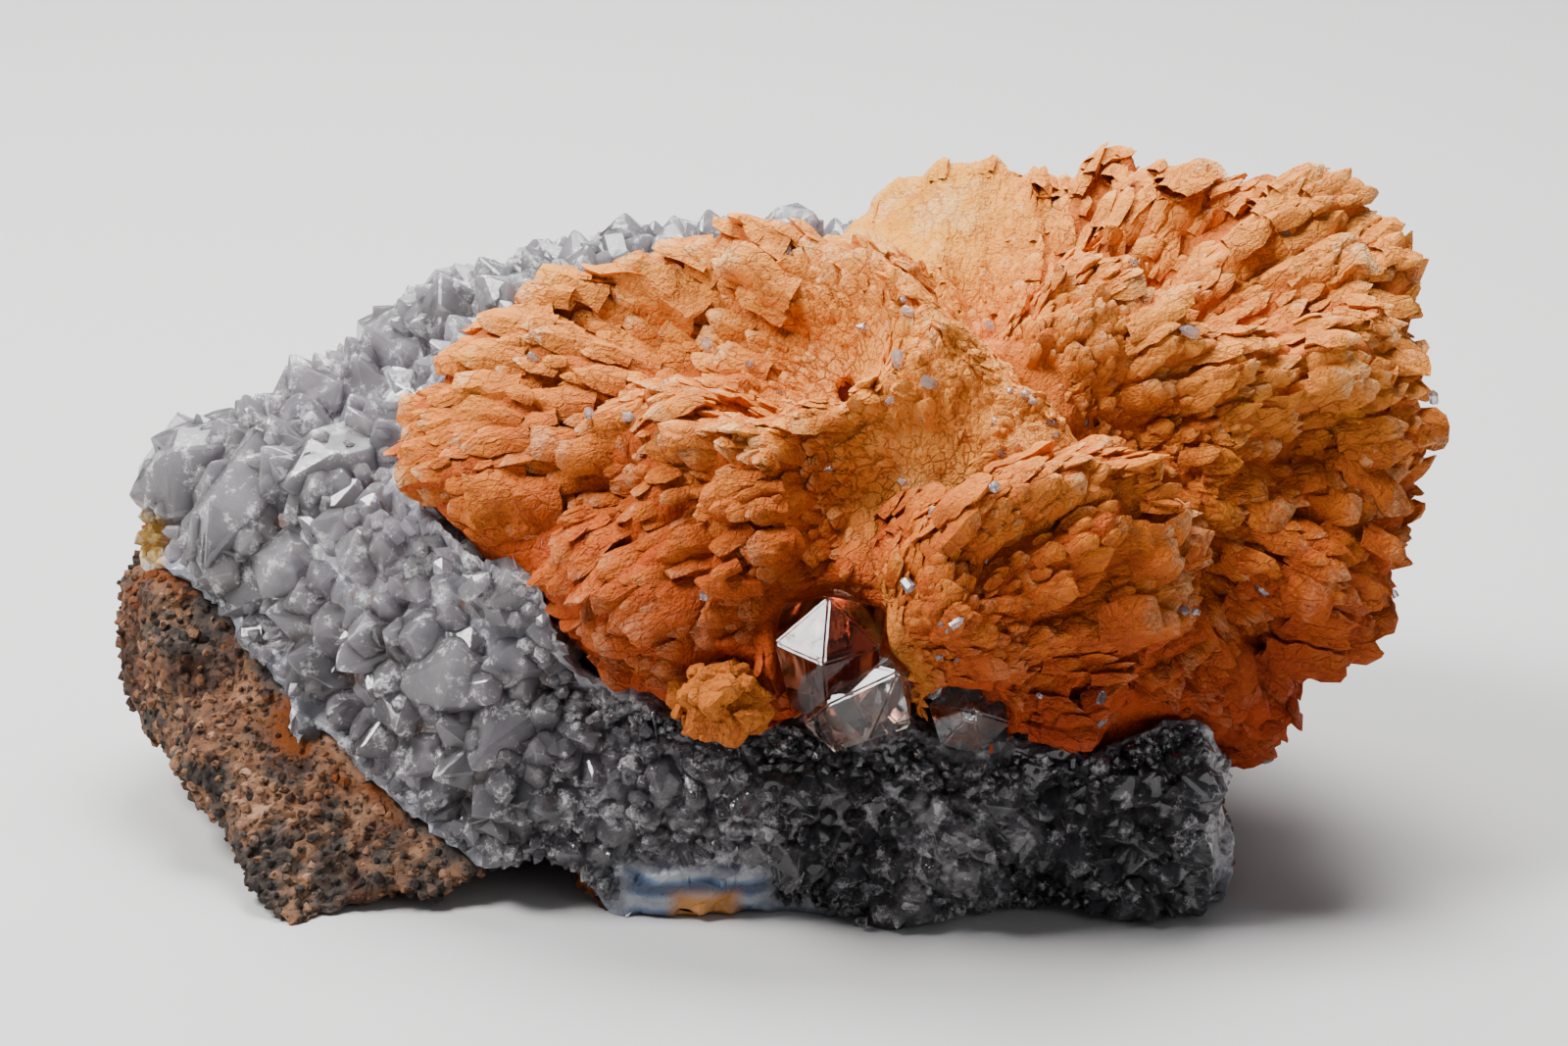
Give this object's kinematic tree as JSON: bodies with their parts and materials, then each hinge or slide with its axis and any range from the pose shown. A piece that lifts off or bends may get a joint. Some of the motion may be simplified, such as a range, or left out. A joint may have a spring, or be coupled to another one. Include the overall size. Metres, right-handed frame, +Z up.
{
  "type": "stilbite crystal cluster",
  "caption": "Mineral specimen: orange scaly stilbite sheaves fanned over a crust of small quartz crystals on dark broken rock, resting on its flat broken base.",
  "frame": {"origin": "on the flat broken base that the specimen rests on, below its middle", "axes": "+Z up, +X to the viewer's right on the display side, -Y towards the viewer"},
  "size_m": [0.106, 0.0606, 0.0524],
  "materials": {
    "basalt": "rough, broken",
    "quartz": "glassy crystal faces, milky",
    "stilbite": "silky to dull",
    "smoky_quartz": "glassy, smoky brown",
    "clear_quartz": "glassy, clear"
  },
  "bodies": {
    "root": {"basalt_matrix": "basalt", "quartz_druse": "quartz", "stilbite_right_sheaf": "stilbite", "stilbite_left_sheaf": "stilbite", "stilbite_front_sheaf": "stilbite", "stilbite_bud": "stilbite", "smoky_quartz_point": "smoky_quartz", "clear_quartz_point": "clear_quartz", "round_quartz_point": "clear_quartz"}
  },
  "joints": []
}
